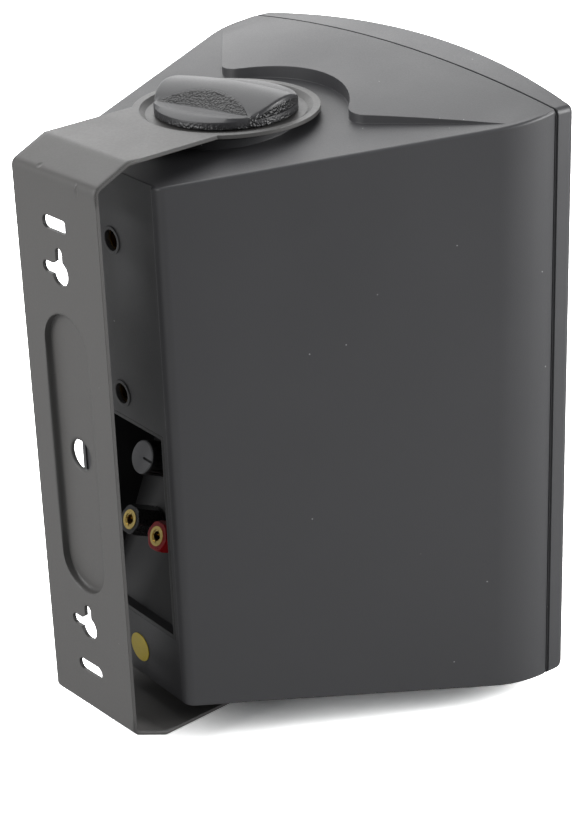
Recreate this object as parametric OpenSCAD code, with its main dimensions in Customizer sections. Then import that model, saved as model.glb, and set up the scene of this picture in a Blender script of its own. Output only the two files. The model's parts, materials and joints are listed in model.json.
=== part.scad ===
// Two-way wall loudspeaker on a U bracket. Millimetres.
// Row frame: the origin is the centre of the bracket's wall plate, on its rear face.
// +Y leads from the wall into the room, +Z is up. The cabinet has its own frame, with its
// origin on the swivel axis at mid height and its +Y towards the grille.

/* [Cabinet] */
// Width of the cabinet at the seam with the front
cab_w = 187; // [160:1:224]
// Height of the cabinet at the seam, measured at its sides
cab_h = 243; // [225:1:292]
// Width of the back, rounded corners included
back_w = 71; // [66:1:90]
// Distance from the swivel axis back to the rear face
back_reach = 56; // [50:1:64]
// Distance from the swivel axis forward to the seam
seam_reach = 83; // [76:1:100]
// Wall thickness of the moulded cabinet
wall = 3; // [2.5:0.1:3.6]
// Slope of the top and bottom floors, in degrees
floor_slope = 5.2; // [4:0.1:6.2]
// Radius of the rear corners
back_corner = 5; // [4.5:0.1:8]
// Radius at which the sides turn in towards the seam
flare = 40; // [30:1:48]
// Radius of the small fillet along the top and bottom edges
edge_fillet = 1.2; // [0.6:0.1:2]
// Rise of the crowned top and bottom at the seam
crown = 6.5; // [4:0.1:8]
// Slope of the brow that carries the crown back to the swivel, in degrees
brow_slope = 7; // [6:0.1:8.4]
// Radius of the round wall that the brow makes about the swivel axis
brow_r = 47; // [44:0.5:52]
// Depth of the recessed panel across the back
panel_step = 0.8; // [0.4:0.1:1.2]

/* [Front] */
// Depth of the front frame at its sides
front_depth = 9.5; // [8:0.1:12]
// How far the front bows out at the middle
front_bulge = 10.5; // [6:0.1:14]
// Radius of the front frame's outer edge
front_round = 3; // [2:0.1:4]
// Width of the frame's face round the grille
frame_w = 6; // [5:0.1:8]
// Thickness of the baffle that carries the drive units
baffle_t = 4; // [3:0.1:5]
// Thickness of the perforated grille
grille_t = 1; // [0.8:0.1:1.5]

/* [Bracket] */
// Width of the steel strip
strip_w = 51; // [44:1:60]
// Thickness of the sheet
sheet_t = 1.5; // [1.2:0.1:2]
// Distance from the wall to the swivel axis
wall_reach = 82; // [75:1:98]
// Inner radius of the bends
bend_r = 2; // [1.5:0.1:3]
// Length of the slanted run between the plate and an arm
slant_run = 15.6; // [13:0.1:19]
// Height of the slanted run
slant_rise = 7; // [5:0.1:8.4]
// Radius of the dished disc at the end of each arm
disc_r = 36; // [34:0.1:40]
// Depth of the dish
dish_depth = 1.6; // [1:0.1:2]
// Height of each wall slot above or below the middle
slot_z = 94; // [85:1:96]
// Height of each keyhole above or below the middle
key_z = 75; // [65:1:80]
// Depth of the pressed panel round the centre hole
press_depth = 3; // [2:0.1:3.6]
// Radius of the centre hole
centre_hole_r = 6.3; // [5:0.1:8]
// Angle that the cabinet is turned to on its bracket, in degrees
swivel = -3.7; // [-20:0.1:20]

/* [Clamp knobs] */
// Radius of a clamp knob
knob_r = 27.5; // [24:0.1:31]
// Thickness of the knob's round base
knob_base_t = 4; // [3:0.1:5]
// Height of the grip above the base
grip_h = 9; // [7:0.1:11]
// Radius of the knob's threaded stud
stud_r = 3.95; // [3:0.05:4.75]
// Length of stud below the bracket
stud_len = 18; // [12:1:22]

/* [Terminals] */
// Width of the terminal recess
recess_w = 50; // [46:1:54]
// Top of the recess
recess_top = 6; // [2:1:7]
// Bottom of the recess
recess_bottom = -79.7; // [-82:0.1:-76]
// Angle of the terminal ramp from the vertical, in degrees
ramp_angle = 23; // [19:0.5:26]
// Depth of the ramp below the rear face at its foot
ramp_foot = 5; // [4:0.1:8]
// Distance between the two binding posts
post_pitch = 19; // [16:0.5:22]
// Radius of a post's threaded stud
post_r = 2.6; // [2.4:0.05:3]
// Radius of the plug socket in a post
socket_r = 2; // [1.9:0.05:2.1]
// Across-flats size of the hexagonal caps
cap_flats = 11.2; // [10:0.1:13]
// Radius of the power-tap knob
tap_r = 6.8; // [5.7:0.1:8.2]

/* [Drive units] */
// Outer diameter of the woofer's basket
woofer_d = 136; // [120:1:140]
// Outer diameter of the tweeter's plate
tweeter_d = 66; // [55:1:70]
// Outer diameter of the woofer's magnet
magnet_d = 80; // [66:1:90]

/* [Hidden] */
$fn = 64;
charcoal = "#2b2b2d";
steel_black = "#3a3a3b";
over = 1; // how far a cutter runs past the face that it cuts
touch = 0.05; // gap between faces that slide on each other
slip = 0.1; // gap between a fixed piece and its pocket
half_w = cab_w / 2;
half_h = cab_h / 2;
slope_t = tan(floor_slope);
floor0 = half_h - seam_reach * slope_t; // floor height on the swivel axis
crown_r = (half_w * half_w + crown * crown) / (2 * crown);
front_r = (half_w * half_w + front_bulge * front_bulge) / (2 * front_bulge);
front_mid = seam_reach + front_depth + front_bulge;
corner_x = back_w / 2 - back_corner;
corner_y = -back_reach + back_corner;
flare_x = half_w - flare;
flare_y = seam_reach - 8;
ridge_foot_x = 44; // where the straight ridges of the brow leave its round wall
ridge_foot_y = 30;
ridge_angle = atan((seam_reach - 18 - ridge_foot_y) / (half_w - 2 - ridge_foot_x));
blend_r = 8; // round that leads the brow's wall into a ridge
brow_inset = 0.5; // the brow's ends sink into the cabinet's sides
rim_r = 2.5; // corner radius of the front outline
grille_back = 1.2 + grille_t; // from the front of the frame to the grille's rear face

// Swivel stack, from the cabinet's floor out to the knob
pad_top = floor0 + 2; // level pad moulded on the floor
friction_t = 1;
dish_under = pad_top + friction_t + touch;
dish_top = dish_under + sheet_t;
arm_top = dish_top + dish_depth;
washer_t = 0.8;
knob_foot = dish_top + washer_t;
grip_top = knob_foot + knob_base_t + grip_h;
pad_r = 28.5;
collar_r = 8; // collar of the insert that the bracket turns on
insert_r = 6.5;
insert_len = stud_len + 6;
boss_r = insert_r + 5;
plate_half = arm_top - slant_rise; // half height of the bracket's flat plate

// Terminal recess: the ramp's frame starts at the middle of its foot
cup_wall = 1.6;
cup_floor = 2.5;
seal_t = 0.8; // foam between the cup's flange and the cabinet
ramp_y = -back_reach + ramp_foot;
recess_h = recess_top - recess_bottom;
ramp_back = ramp_y + recess_h * tan(ramp_angle);
post_v = 33.7; // distance of the posts up the ramp
post_top = 13.2; // height of a post's end above the ramp
collar_h = 2.2;
cap_lift = 0.2; // gap between a cap and its collar
core_r = 4;
tap_v = 62.8; // distance of the tap knob up the ramp
tap_boss_h = 6.5;
tap_h = 15;
tap_shaft_r = 3;
tap_nut_h = 2;
tap_knob_foot = tap_boss_h + tap_nut_h + 0.4;
board_gap = 9; // space between the ramp and the circuit board
board_t = 1.6;
board_w = 46;
board_h = 40;
board_v = 26; // distance of the board's middle up the ramp
transformer_z = 48.5;
core_w = 41;
core_h = 28;
foot_screw_x = core_w / 2 - 2.9; // screws of the transformer's frame, outside its uprights
stack = 15; // thickness of the transformer's laminations

// Drive units sit on the baffle's front face
baffle_y = seam_reach - 2;
inner_off = wall + 0.3; // the baffle's tongue clears the cabinet's wall
gasket_h = 1; // foam between the baffle and the screw bosses
woofer_z = -(half_h - wall - woofer_d / 2 - 5);
tweeter_z = half_h - wall - tweeter_d / 2 - 6;
woofer_hole_r = woofer_d / 2 - 8;
tweeter_hole_r = tweeter_d / 2 - 7;
flange_t = 1.5;
gasket_t = 2;
cone_r = woofer_d / 2 - 17;
coil_r = 12.8;
basket_depth = 38;
top_plate_t = 5;
magnet_t = 14;
basket_r = woofer_hole_r - 1;
seat_r = magnet_d / 2 - 4; // foot of the basket on the magnet
screw_x = half_w - wall - 8;
screw_z = half_h - wall - 10;
insert_pos = [[0, 80], [0, 17]]; // rear inserts, as x and z in the cabinet's frame

// Outline helpers
function arc_pts(cx, cy, r, a0, a1, n) =
    [for (i = [0 : n]) let (a = a0 + (a1 - a0) * i / n) [cx + r * cos(a), cy + r * sin(a)]];
function mirror_x(p) = [for (i = [len(p) - 1 : -1 : 0]) [-p[i][0], p[i][1]]];
function unit(v) = v / norm(v);
function perp(v) = [-v[1], v[0]];
function dot(a, b) = a[0] * b[0] + a[1] * b[1];
function floor_z(y) = floor0 + y * slope_t;
function crown_z(x) = half_h - crown_r + crown + sqrt(crown_r * crown_r - x * x);
function front_y(x) = front_mid - front_r + sqrt(front_r * front_r - x * x);

// Rounds the corner b of the path a, b, c with radius r
function round_corner(a, b, c, r, n = 6) =
    let (u = unit(a - b), v = unit(c - b), half = acos(dot(u, v)) / 2,
        t = r / tan(half), m = b + unit(u + v) * r / sin(half),
        p = b + u * t - m, q = b + v * t - m,
        a0 = atan2(p[1], p[0]), raw = atan2(q[1], q[0]) - a0,
        turn = raw > 180 ? raw - 360 : raw < -180 ? raw + 360 : raw)
    [for (i = [0 : n]) m + r * [cos(a0 + turn * i / n), sin(a0 + turn * i / n)]];

// Front outline in X and Z, inset by off, with crowned top and bottom
function quarter(off) =
    let (w = half_w - off, top = [for (i = [0 : 10]) let (x = (w - rim_r) * (10 - i) / 10)
        [x, crown_z(x) - off]])
    concat(arc_pts(w - rim_r, crown_z(w - rim_r) - off - rim_r, rim_r, 0, 84, 5), top);
function upper(off) = concat(quarter(off), [for (p = mirror_x(quarter(off))) if (p[0] < 0) p]);
function flip_z(p) = [for (i = [len(p) - 1 : -1 : 0]) [p[i][0], -p[i][1]]];
function outline(off) = concat(upper(off), flip_z(upper(off)));

// Frames and repeated shapes
module on_pivot() { translate([0, wall_reach, 0]) rotate([0, 0, swivel]) children(); }
module axis_pivot() { translate([0, wall_reach, 0]) children(); }
module facing(x, y, z) { translate([x, y, z]) rotate([-90, 0, 0]) children(); }
module on_ramp(x, v) {
    on_pivot() translate([0, ramp_y, recess_bottom]) rotate([90 - ramp_angle, 0, 0])
        translate([x, v, 0]) children();
}
module along_y(y0, y1) { translate([0, y1, 0]) rotate([90, 0, 0]) linear_extrude(y1 - y0) children(); }
module side_cut(w) { rotate([90, 0, 90]) linear_extrude(w, center = true) children(); }
module ring(r, hole, h) {
    difference() {
        cylinder(r = r, h = h);
        translate([0, 0, -over]) cylinder(r = hole, h = h + 2 * over);
    }
}
module both_ends() { for (s = [0, 1]) mirror([0, 0, s]) children(); }
module screw_pos() { for (x = [-1, 1], z = [-1, 1]) translate([x * screw_x, 0, z * screw_z]) children(); }

// Convex body of the cabinet: fillet rings at its eight corners, joined
module body_form() {
    corners = [[corner_x, corner_y, back_corner], [flare_x, flare_y, flare]];
    hull() both_ends() for (s = [-1, 1], c = corners)
        translate([s * c[0], c[1], floor_z(c[1]) - edge_fillet / cos(floor_slope)])
            rotate([floor_slope, 0, 0]) rotate_extrude($fn = c[2] > 20 ? 72 : 32)
                translate([c[2] - edge_fillet, 0]) circle(edge_fillet, $fn = 16);
}

// Plan of the cabinet, inset by off: rear corner, straight side and flare
flare_tilt = atan2(flare_y - corner_y, flare_x - corner_x)
    - acos((back_corner - flare) / norm([flare_x - corner_x, flare_y - corner_y]));
function plan_side(off) = concat(
    arc_pts(corner_x, corner_y, back_corner - off, -90, flare_tilt, 6),
    arc_pts(flare_x, flare_y, flare - off, flare_tilt, 24, 12));
module plan_form(off) { polygon(concat(plan_side(off), mirror_x(plan_side(off)))); }

// Straight-sided space inside the cabinet's walls
module cavity_form() {
    rear = -back_reach + wall;
    front = seam_reach + over;
    drop = wall / cos(floor_slope);
    intersection() {
        linear_extrude(3 * cab_h, center = true) plan_form(wall);
        side_cut(2 * cab_w) polygon([[rear, -floor_z(rear) + drop], [front, -floor_z(front) + drop],
            [front, floor_z(front) - drop], [rear, floor_z(rear) - drop]]);
    }
}

// Plan of the brow: straight ridges, a round wall about the swivel and a blend between them
module brow_plan() {
    u = [cos(ridge_angle), sin(ridge_angle)];
    n = perp(u);
    foot = [ridge_foot_x, ridge_foot_y];
    base = foot + n * blend_r;
    reach = brow_r + blend_r;
    along = -dot(base, u) + sqrt(pow(dot(base, u), 2) - dot(base, base) + reach * reach);
    c = base + u * along;
    a0 = atan2(-n[1], -n[0]);
    a1 = atan2(-c[1], -c[0]);
    wall_a = atan2(c[1], c[0]);
    side = concat([foot + u * (half_w - ridge_foot_x) / u[0]], arc_pts(c[0], c[1], blend_r, a0, a1, 6),
        arc_pts(0, 0, brow_r, wall_a, 90, 10));
    polygon(concat([[half_w, seam_reach]], side, mirror_x(side), [[-half_w, seam_reach]]));
}
module brow() {
    intersection() {
        linear_extrude(half_h + crown + over) brow_plan();
        translate([0, seam_reach, half_h + crown - crown_r / cos(brow_slope)]) rotate([90 + brow_slope, 0, 0])
            cylinder(r = crown_r, h = 3 * seam_reach, center = true, $fn = 256);
        linear_extrude(half_h + crown + over) plan_form(brow_inset);
    }
}

// Side outline of the terminal recess with its walls: a side wall of off, and a ramp thicker by as much
module cup_profile(off) {
    skin = (cup_floor + off - cup_wall) / cos(ramp_angle);
    lean = off * tan(ramp_angle);
    face = -back_reach + panel_step;
    polygon([[face, recess_bottom - off], [ramp_y + skin - lean, recess_bottom - off],
        [ramp_back + skin + lean, recess_top + off], [face, recess_top + off]]);
}
module panel_cut() {
    w = back_w - 2 * back_corner - 1.4;
    difference() {
        translate([-w / 2, -back_reach - over, -cab_h]) cube([w, over + panel_step, 2 * cab_h]);
        for (p = insert_pos) facing(p[0], -back_reach + panel_step / 2, p[1]) cylinder(r = 5.4, h = wall);
    }
}

module rear_cabinet() {
    color(charcoal) on_pivot() difference() {
        union() {
            body_form();
            both_ends() {
                brow();
                translate([0, 0, floor0 - 8]) cylinder(r = pad_r, h = pad_top - floor0 + 8);
            }
        }
        difference() {
            cavity_form();
            both_ends() {
                translate([0, 0, floor0 - insert_len - 4]) cylinder(r = boss_r, h = insert_len + 8);
                translate([0, 0, floor0 - 8]) cylinder(r = pad_r, h = 8);
            }
            for (p = insert_pos) facing(p[0], -back_reach, p[1]) cylinder(r = 6.5, h = wall + 12);
            screw_pos() facing(0, seam_reach - 36, 0) cylinder(r = 4.5, h = 29);
            for (s = [-1, 1]) facing(s * foot_screw_x, -back_reach, transformer_z) cylinder(r = 3.5, h = wall + 4);
        }
        translate([-cab_w, seam_reach, -cab_h]) cube([2 * cab_w, cab_w, 2 * cab_h]);
        along_y(baffle_y - baffle_t - gasket_h - slip, seam_reach + over) polygon(outline(wall + slip));
        panel_cut();
        both_ends() {
            translate([0, 0, pad_top - insert_len]) cylinder(r = insert_r, h = insert_len + over);
            translate([0, 0, pad_top]) cylinder(r = pad_r + 1.5, h = 4);
        }
        for (p = insert_pos) {
            facing(p[0], -back_reach - over, p[1]) cylinder(r = 4.15, h = over + 3);
            facing(p[0], -back_reach + 2.5, p[1]) cylinder(r = 4.6, h = 10);
        }
        screw_pos() facing(0, seam_reach - 26, 0) cylinder(r = 1.5, h = 20);
        for (s = [-1, 1]) facing(s * foot_screw_x, -back_reach + wall, transformer_z) cylinder(r = 1.3, h = 5);
        side_cut(recess_w + 2 * cup_wall + 2 * slip) cup_profile(cup_wall + slip);
        translate([0, -back_reach, (recess_top + recess_bottom) / 2])
            cube([recess_w + 2 * cup_wall + 2 * slip, 4 * wall,
                recess_h + 2 * cup_wall + 2 * slip], center = true);
    }
}

// Front frame, baffle and grille
// The frame is lofted through rings of the front outline. A ring has an inset of the outline,
// and its depth is taken from the seam's plane (0) or back from the bowed front (1)
front_rings = [[inner_off, 0, baffle_y - baffle_t - seam_reach], [inner_off, 0, 0.3], [0.7, 0, 0.3],
    [0.7, 0, 1], [0, 0, 1], [0, 1, front_round],
    for (a = [22.5 : 22.5 : 90]) [front_round * (1 - cos(a)), 1, front_round * (1 - sin(a))],
    [frame_w - 0.4, 1, 0], [frame_w, 1, 0.4], [frame_w, 1, grille_back],
    [frame_w + 2, 1, grille_back], [frame_w + 2, 0, baffle_y - baffle_t - seam_reach]];
function ring_points(g) = [for (p = outline(g[0]))
    [p[0], g[1] == 0 ? seam_reach + g[2] : front_y(p[0]) - g[2], p[1]]];
module front_form() {
    n = len(outline(0));
    m = len(front_rings);
    points = [for (g = front_rings) each ring_points(g)];
    faces = [for (i = [0 : m - 1], k = [0 : n - 1]) let (j = (i + 1) % m, l = (k + 1) % n)
        each [[i * n + k, i * n + l, j * n + k], [i * n + l, j * n + l, j * n + k]]];
    polyhedron(points, faces, convexity = 6);
}
module front_drum(inset) {
    translate([0, front_mid - front_r, 0])
        cylinder(r = front_r - inset, h = 3 * cab_h, center = true, $fn = 256);
}
module front_baffle() {
    color(charcoal) on_pivot() difference() {
        union() {
            front_form();
            along_y(baffle_y - baffle_t + slip, baffle_y) polygon(outline(frame_w + 1));
        }
        facing(0, 0, woofer_z) cylinder(r = woofer_hole_r, h = 2 * seam_reach);
        facing(0, 0, tweeter_z) cylinder(r = tweeter_hole_r, h = 2 * seam_reach);
        screw_pos() facing(0, 0, 0) cylinder(r = 2.1, h = 2 * seam_reach);
        woofer_screw_pos() cylinder(r = 1.4, h = 20, center = true);
        tweeter_screw_pos() cylinder(r = 1.2, h = 20, center = true);
    }
}
module grille() {
    color("#1c1c1d") on_pivot() intersection() {
        along_y(0, 2 * cab_w) polygon(outline(frame_w + 0.15));
        difference() {
            front_drum(grille_back - grille_t);
            front_drum(grille_back - slip);
        }
    }
}
module baffle_gasket() {
    color("#111112") on_pivot() difference() {
        along_y(baffle_y - baffle_t - gasket_h, baffle_y - baffle_t) polygon(outline(inner_off + 0.3));
        along_y(0, seam_reach + over) polygon(outline(inner_off + 3));
    }
}
module pan_screw(r, head_r, head_h, len) {
    difference() {
        union() {
            translate([0, 0, -len]) cylinder(r = r, h = len);
            cylinder(r1 = head_r, r2 = head_r * 0.7, h = head_h);
        }
        for (a = [0, 90]) rotate([0, 0, a]) translate([0, 0, head_h])
            cube([head_r, head_r * 0.22, head_h], center = true);
    }
}
module housing_screws() {
    color("silver") on_pivot() screw_pos() facing(0, baffle_y, 0) pan_screw(1.5, 3.2, 1.8, 22);
}

// Swivel: inserts, washers and clamp knobs at both ends
module pivot_insert() {
    translate([0, 0, pad_top - insert_len]) difference() {
        union() {
            cylinder(r = insert_r, h = insert_len + friction_t);
            translate([0, 0, insert_len]) cylinder(r = collar_r, h = friction_t + touch + sheet_t - 0.1);
        }
        translate([0, 0, 2]) cylinder(r = stud_r + 0.05, h = insert_len + 10);
    }
}
module top_pivot_insert() { color("goldenrod") on_pivot() pivot_insert(); }
module bottom_pivot_insert() { color("goldenrod") on_pivot() mirror([0, 0, 1]) pivot_insert(); }
module friction_washer() {
    translate([0, 0, pad_top]) difference() {
        cylinder(r = pad_r + 0.6, h = friction_t);
        translate([0, 0, -over]) cylinder(r = collar_r + slip, h = friction_t + 2 * over);
        for (a = [0 : 10 : 350]) rotate([0, 0, a]) translate([pad_r + 0.6, 0, friction_t / 2])
            cube([1.6, 1.6, 2 * friction_t], center = true);
    }
}
module top_friction_washer() { color("#202021") on_pivot() friction_washer(); }
module bottom_friction_washer() { color("#202021") on_pivot() mirror([0, 0, 1]) friction_washer(); }

module knob() {
    scoop_r = knob_r * 1.25;
    scoop_x = scoop_r + knob_r * 0.42;
    translate([0, 0, knob_foot]) rotate([0, 0, 15]) difference() {
        union() {
            rotate_extrude() polygon(concat([[0, 0], [knob_r - 0.6, 0], [knob_r, 0.6]],
                arc_pts(knob_r - 1, knob_base_t - 1, 1, 0, 90, 4), [[0, knob_base_t]]));
            rotate_extrude() polygon(concat([[0, knob_base_t]],
                [for (i = [0 : 12]) let (t = i / 12 * 90) [(knob_r - 0.4) * pow(cos(t), 0.35),
                    knob_base_t + grip_h * pow(sin(t), 1.1)]]));
        }
        for (s = [-1, 1]) translate([0, s * scoop_x, knob_base_t])
            cylinder(r1 = scoop_r, r2 = scoop_r - 1.5, h = grip_h + over, $fn = 96);
        translate([0, 0, -over]) cylinder(r = 5, h = over + 2.6);
    }
}
module top_knob() { color("#303032") axis_pivot() knob(); }
module bottom_knob() { color("#303032") axis_pivot() mirror([0, 0, 1]) knob(); }
module knob_stud() {
    translate([0, 0, dish_top - stud_len]) cylinder(r = stud_r, h = stud_len + washer_t + 0.4);
    translate([0, 0, knob_foot]) cylinder(r = 5, h = 2.6);
}
module top_knob_stud() { color("silver") axis_pivot() knob_stud(); }
module bottom_knob_stud() { color("silver") axis_pivot() mirror([0, 0, 1]) knob_stud(); }
module knob_washer() { translate([0, 0, dish_top]) ring(14, stud_r + slip, washer_t); }
module top_knob_washer() { color("silver") axis_pivot() knob_washer(); }
module bottom_knob_washer() { color("silver") axis_pivot() mirror([0, 0, 1]) knob_washer(); }

module rear_inserts() {
    color("goldenrod") on_pivot() for (p = insert_pos)
        facing(p[0], -back_reach + 2.5, p[1]) ring(4.6, 3.4, 10);
}

// Bracket: bent strip with a dished disc on each arm
strip_path = [[wall_reach, arm_top], [slant_run, arm_top], [0, plate_half],
    [0, -plate_half], [slant_run, -arm_top], [wall_reach, -arm_top]];
function inset_at(i) =
    let (n1 = perp(unit(strip_path[i] - strip_path[i - 1])), n2 = perp(unit(strip_path[i + 1] - strip_path[i])))
    strip_path[i] + sheet_t * (n1 + n2) / (1 + dot(n1, n2));
module strip_section() {
    inner = concat([strip_path[0] - [0, sheet_t]], [for (i = [1 : 4]) inset_at(i)],
        [strip_path[5] + [0, sheet_t]]);
    polygon(concat([strip_path[0]],
        [for (i = [1 : 4]) each round_corner(strip_path[i - 1], strip_path[i], strip_path[i + 1], bend_r + sheet_t)],
        [strip_path[5], inner[5]],
        [for (i = [4 : -1 : 1]) each round_corner(inner[i + 1], inner[i], inner[i - 1], bend_r)],
        [inner[0]]));
}
module stadium(w, h) {
    square([w, h - w], center = true);
    for (s = [-1, 1]) translate([0, s * (h - w) / 2]) circle(w / 2, $fn = 48);
}
module wall_cut(x, z) { translate([x, 4 * sheet_t, z]) rotate([90, 0, 0]) linear_extrude(8 * sheet_t) children(); }
module dish() {
    t = sheet_t;
    rotate_extrude($fn = 96) polygon([[0, dish_under], [disc_r - 4.5, dish_under],
        [disc_r - 2.2, arm_top - t], [disc_r, arm_top - t], [disc_r, arm_top],
        [disc_r - 2.8, arm_top], [disc_r - 5.1, dish_top], [0, dish_top]]);
}
module bracket() {
    press_w = 30;
    press_h = 120;
    color(steel_black) difference() {
        union() {
            difference() {
                side_cut(strip_w) strip_section();
                both_ends() axis_pivot() cylinder(r = disc_r - 3, h = 2 * arm_top);
                wall_cut(0, 0) stadium(press_w, press_h);
            }
            both_ends() axis_pivot() dish();
            difference() {
                translate([0, sheet_t + press_depth, 0]) rotate([90, 0, 0])
                    linear_extrude(press_depth + sheet_t) stadium(press_w, press_h);
                translate([0, press_depth, 0]) rotate([90, 0, 0])
                    linear_extrude(press_depth + over) stadium(press_w - 2 * sheet_t, press_h - 2 * sheet_t);
            }
        }
        both_ends() axis_pivot() cylinder(r = collar_r + 0.06, h = 2 * arm_top);
        rotate([90, 0, 0]) cylinder(r = centre_hole_r, h = 4 * press_depth, center = true);
        for (z = [-slot_z, slot_z]) wall_cut(-1, z) rotate(90) stadium(5.4, 15);
        for (z = [-key_z, key_z]) wall_cut(0, z) keyhole();
    }
}
module keyhole() {
    circle(5, $fn = 40);
    translate([0, 4]) stadium(4, 12);
    translate([-5.5, 1]) rotate(90) stadium(4.6, 10);
}

// Terminal cup, posts and power tap
module terminal_cup() {
    color("#232325") on_pivot() difference() {
        union() {
            side_cut(recess_w + 2 * cup_wall) cup_profile(cup_wall);
            translate([0, -back_reach + wall + seal_t + 1, (recess_top + recess_bottom) / 2])
                cube([recess_w + 2 * cup_wall + 4, 2, recess_h + 2 * cup_wall + 4], center = true);
        }
        difference() {
            side_cut(recess_w) polygon([[-back_reach - over, recess_bottom], [ramp_y, recess_bottom],
                [ramp_back, recess_top], [-back_reach - over, recess_top]]);
            translate([0, ramp_y, recess_bottom]) rotate([90 - ramp_angle, 0, 0])
                translate([0, tap_v, -over]) cylinder(r1 = 11, r2 = 9, h = tap_boss_h + over);
        }
        translate([0, ramp_y, recess_bottom]) rotate([90 - ramp_angle, 0, 0]) {
            for (s = [-1, 1]) translate([s * post_pitch / 2, post_v, -10]) cylinder(r = post_r, h = 20);
            translate([0, tap_v, -10]) cylinder(r = tap_shaft_r + 1.2, h = 30);
            for (s = [-1, 1]) translate([s * 20, board_v - 16, -cup_floor - over]) cylinder(r = 1.5, h = over + 1.6);
        }
    }
}
module cup_gasket() {
    color("#111112") on_pivot() translate([0, -back_reach + wall + seal_t / 2, (recess_top + recess_bottom) / 2])
        difference() {
            cube([recess_w + 2 * cup_wall + 4, seal_t, recess_h + 2 * cup_wall + 4], center = true);
            cube([recess_w + 2 * cup_wall + 0.2, 3, recess_h + 2 * cup_wall + 0.2], center = true);
        }
}
module post(x) {
    color("gold") on_ramp(x, post_v) difference() {
        translate([0, 0, -9]) cylinder(r = post_r, h = post_top + 9);
        translate([0, 0, 1]) cylinder(r = socket_r, h = post_top);
        for (a = [0, 90]) rotate([0, 0, a]) translate([0, 0, post_top])
            cube([3 * post_r, 0.5, 6], center = true);
    }
}
module black_post() { post(-post_pitch / 2); }
module red_post() { post(post_pitch / 2); }
module post_collars() {
    for (s = [-1, 1]) color(s < 0 ? "#1a1a1b" : "crimson")
        on_ramp(s * post_pitch / 2, post_v) ring(cap_flats / 2 + 0.6, post_r, collar_h);
}
module cap() {
    lift = collar_h + cap_lift;
    difference() {
        intersection() {
            translate([0, 0, lift]) cylinder(r = cap_flats / sqrt(3), h = post_top - lift, $fn = 6);
            translate([0, 0, lift]) cylinder(r1 = cap_flats / 2 + 3, r2 = cap_flats / 2 + 0.3, h = post_top - lift);
        }
        cylinder(r = core_r, h = 2 * post_top);
    }
}
module black_cap() { color("#1a1a1b") on_ramp(-post_pitch / 2, post_v) cap(); }
module red_cap() { color("crimson") on_ramp(post_pitch / 2, post_v) cap(); }
module cap_core() {
    translate([0, 0, collar_h + cap_lift]) ring(core_r, post_r + touch, post_top - collar_h - cap_lift + 0.3);
}
module black_cap_core() { color("gold") on_ramp(-post_pitch / 2, post_v) cap_core(); }
module red_cap_core() { color("gold") on_ramp(post_pitch / 2, post_v) cap_core(); }
module post_nuts() {
    color("gold") for (s = [-1, 1]) on_ramp(s * post_pitch / 2, post_v)
        translate([0, 0, -cup_floor - 3.2]) difference() {
            cylinder(r = 4.6, h = 2.4, $fn = 6);
            translate([0, 0, -over]) cylinder(r = post_r, h = 5);
        }
}
module solder_tags() {
    color("silver") for (s = [-1, 1]) on_ramp(s * post_pitch / 2, post_v)
        translate([0, 0, -cup_floor - 0.8]) difference() {
            union() {
                cylinder(r = 4.2, h = 0.8);
                translate([-1.5, 0, 0]) cube([3, 9, 0.8]);
            }
            translate([0, 0, -over]) cylinder(r = post_r, h = 4);
            translate([0, 7, -over]) cylinder(r = 0.8, h = 4);
        }
}
module tap_switch() {
    color("#2a2a2c") on_ramp(0, tap_v) difference() {
        union() {
            translate([0, 0, -cup_floor - 11]) cylinder(r = 10, h = 11);
            translate([0, 0, -cup_floor - 11]) cylinder(r = tap_shaft_r + 1.2, h = cup_floor + 11 + tap_boss_h + tap_nut_h);
        }
        translate([0, 0, -cup_floor - 8]) cylinder(r = tap_shaft_r + touch, h = 40);
    }
}
module tap_shaft() {
    color("silver") on_ramp(0, tap_v) translate([0, 0, -cup_floor - 7.8])
        cylinder(r = tap_shaft_r, h = cup_floor + 7.8 + tap_knob_foot + tap_h - 3);
}
module tap_nut() {
    color("silver") on_ramp(0, tap_v) translate([0, 0, tap_boss_h]) difference() {
        cylinder(r = 6, h = tap_nut_h, $fn = 6);
        translate([0, 0, -over]) cylinder(r = tap_shaft_r + 1.2, h = 5);
    }
}
module tap_knob() {
    color("#4a4a4c") on_ramp(0, tap_v) translate([0, 0, tap_knob_foot]) difference() {
        rotate_extrude() polygon([[0, 0], [tap_r + 0.4, 0], [tap_r, tap_h - 0.6], [tap_r - 0.6, tap_h], [0, tap_h]]);
        translate([0, 0, -over]) cylinder(r = tap_shaft_r, h = over + tap_h - 3);
        for (a = [9 : 18 : 351]) rotate([0, 0, a]) translate([tap_r + 0.6, 0, tap_h / 2 - 2])
            cube([2, 0.7, tap_h], center = true);
        translate([tap_r / 2 + 1, 0, tap_h]) cube([tap_r, 1, 1.2], center = true);
    }
}

// Line transformer on the inside of the back
module in_transformer() { on_pivot() translate([0, -back_reach + wall + 4, transformer_z]) children(); }
module transformer_core() {
    color("#5b5d60") in_transformer() translate([0, 1.2 + stack / 2 + 6, 0]) difference() {
        cube([core_w - 14, stack, core_h], center = true);
        for (s = [-1, 1]) translate([s * 6.8, 0, 0]) cube([5.6, stack + 2, core_h - 12], center = true);
    }
}
module transformer_coil() {
    color("#c8b070") in_transformer() translate([0, 1.2 + stack / 2 + 6, 0]) difference() {
        cube([19, stack + 9, core_h - 12.4], center = true);
        cube([8, stack, core_h], center = true);
    }
}
module transformer_frame() {
    color("#9a9c9e") in_transformer() difference() {
        union() {
            translate([-foot_screw_x - 3.4, 0, -6]) cube([2 * foot_screw_x + 6.8, 1.2, 12]);
            for (s = [-1, 1]) translate([s * (core_w / 2 - 6.4) - 0.6, 0, -6]) cube([1.2, stack + 7.2, 12]);
        }
        for (s = [-1, 1]) facing(s * foot_screw_x, -over, 0) cylinder(r = 1.7, h = 4);
    }
}
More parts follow.
